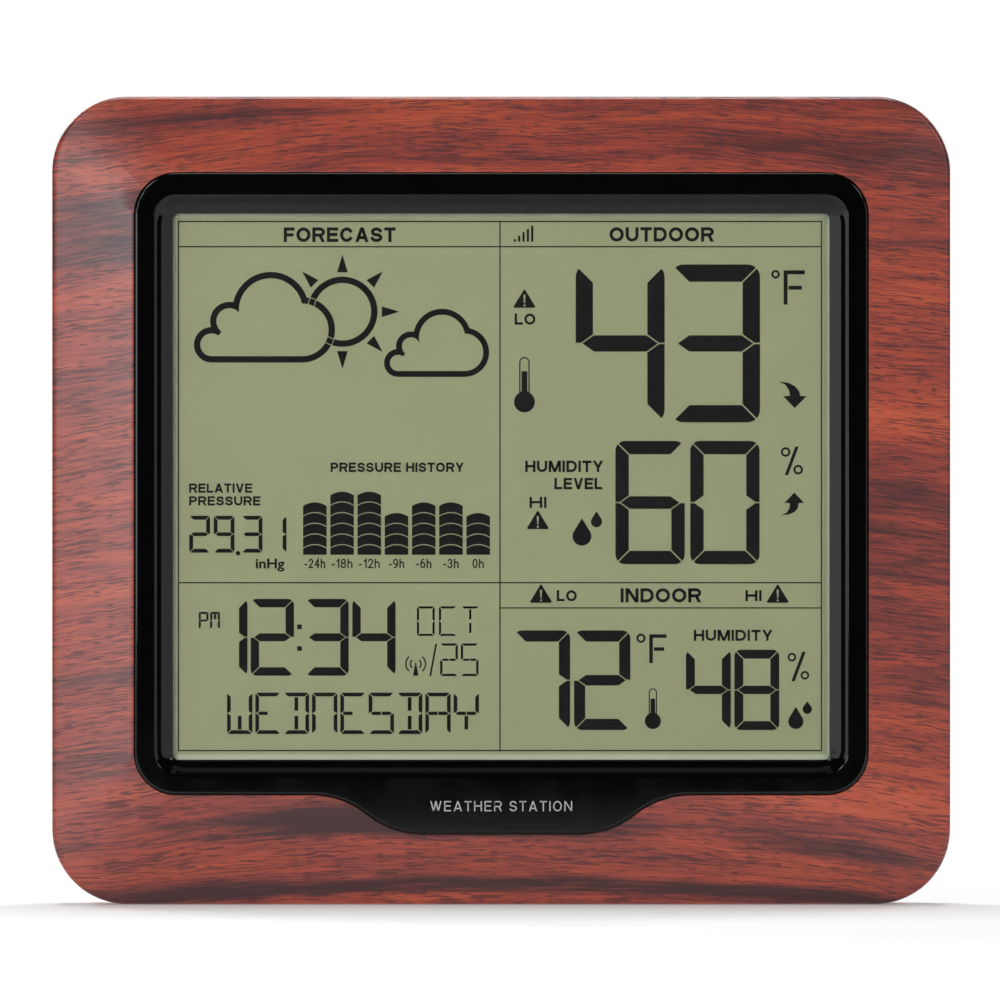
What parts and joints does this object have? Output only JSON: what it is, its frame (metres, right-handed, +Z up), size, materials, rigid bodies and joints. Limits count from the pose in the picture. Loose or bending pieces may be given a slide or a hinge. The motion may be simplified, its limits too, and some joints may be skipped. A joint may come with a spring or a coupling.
{
  "type": "home weather station",
  "caption": "Table-top weather station with a segment display in a gloss bezel and a wood-look frame, fold-out stand, battery door and rear keys.",
  "frame": {"origin": "middle of the bottom of the object's box, on the surface it stands on", "axes": "+X to the right of someone reading the display, -Y out of the display's front, +Z up"},
  "size_m": [0.228, 0.027, 0.205],
  "materials": {
    "wood_print": "satin mahogany-look printed grain",
    "gloss_black": "high gloss black",
    "tape": "thin foam tape",
    "clear_window": "clear acrylic sheet",
    "polariser_film": "clear film with a faint tint",
    "cell_glass": "thin flat glass",
    "reflector_film": "grey-green reflective film",
    "holder_plastic": "plain moulded, off-white",
    "contact_rubber": "layered conductive strip",
    "circuit_board": "green solder mask",
    "chip_resin": "black resin",
    "plated_steel": "nickel plated",
    "capacitor_can": "sleeved can",
    "module_board": "blue board with a tin shield",
    "ferrite": "dark sintered rod",
    "copper_wire": "enamelled winding",
    "matte_black": "fine moulded texture",
    "cell_wrap": "printed sleeve on a steel can",
    "button_plastic": "smooth moulded",
    "plunger_plastic": "smooth moulded",
    "black_screws": "blackened steel",
    "red_wire": "soft insulation",
    "black_wire": "soft insulation",
    "grey_wire": "soft insulation"
  },
  "bodies": {
    "case": {"wood_frame": "wood_print", "bezel": "gloss_black", "window_tape": "tape", "display_window": "clear_window", "lcd_front_polariser": "polariser_film", "lcd_glass": "cell_glass", "lcd_reflector": "reflector_film", "lcd_holder": "holder_plastic", "zebra_strip": "contact_rubber", "main_board": "circuit_board", "controller_chip": "chip_resin", "pressure_sensor": "plated_steel", "clock_crystal": "plated_steel", "capacitors": "capacitor_can", "buzzer": "chip_resin", "radio_module": "module_board", "aerial_clips": "holder_plastic", "ferrite_rod": "ferrite", "ferrite_coil": "copper_wire", "climate_board": "circuit_board", "climate_sensor": "chip_resin", "rear_case": "matte_black", "top_cell": "cell_wrap", "middle_cell": "cell_wrap", "bottom_cell": "cell_wrap", "contact_plates": "plated_steel", "contact_springs": "plated_steel", "switch_housings": "chip_resin", "case_screws": "black_screws", "holder_screws": "plated_steel", "board_screws": "plated_steel", "positive_lead": "red_wire", "negative_lead": "black_wire", "climate_lead": "grey_wire", "radio_aerial": "grey_wire"},
    "stand": {"stand": "matte_black"},
    "battery_door": {"battery_door": "matte_black"},
    "time_button": {"time_button": "button_plastic", "time_plunger": "plunger_plastic"},
    "alert_button": {"alert_button": "button_plastic", "alert_plunger": "plunger_plastic"},
    "search_button": {"search_button": "button_plastic", "search_plunger": "plunger_plastic"},
    "plus_button": {"plus_button": "button_plastic", "plus_plunger": "plunger_plastic"},
    "minus_button": {"minus_button": "button_plastic", "minus_plunger": "plunger_plastic"},
    "light_button": {"light_button": "button_plastic", "light_plunger": "plunger_plastic"}
  },
  "joints": [
    {"name": "stand_hinge", "type": "hinge", "parent": "case", "child": "stand", "pos_m": [0, 0.0114, 0.11], "axis": [1, 0, 0], "range_deg": [0, 25]},
    {"name": "battery_door_hinge", "type": "hinge", "parent": "case", "child": "battery_door", "pos_m": [0.0606, 0.0135, 0.0886], "axis": [1, 0, 0], "range_deg": [0, 70]},
    {"name": "time_press", "type": "slide", "parent": "case", "child": "time_button", "axis": [0, -1, 0], "range_m": [0, 0.0006], "stiffness_N_per_m": 600, "springref_m": -0.0005},
    {"name": "alert_press", "type": "slide", "parent": "case", "child": "alert_button", "axis": [0, -1, 0], "range_m": [0, 0.0006], "stiffness_N_per_m": 600, "springref_m": -0.0005},
    {"name": "search_press", "type": "slide", "parent": "case", "child": "search_button", "axis": [0, -1, 0], "range_m": [0, 0.0006], "stiffness_N_per_m": 600, "springref_m": -0.0005},
    {"name": "plus_press", "type": "slide", "parent": "case", "child": "plus_button", "axis": [0, -1, 0], "range_m": [0, 0.0006], "stiffness_N_per_m": 600, "springref_m": -0.0005},
    {"name": "minus_press", "type": "slide", "parent": "case", "child": "minus_button", "axis": [0, -1, 0], "range_m": [0, 0.0006], "stiffness_N_per_m": 600, "springref_m": -0.0005},
    {"name": "light_press", "type": "slide", "parent": "case", "child": "light_button", "axis": [0, -1, 0], "range_m": [0, 0.0006], "stiffness_N_per_m": 600, "springref_m": -0.0005}
  ]
}
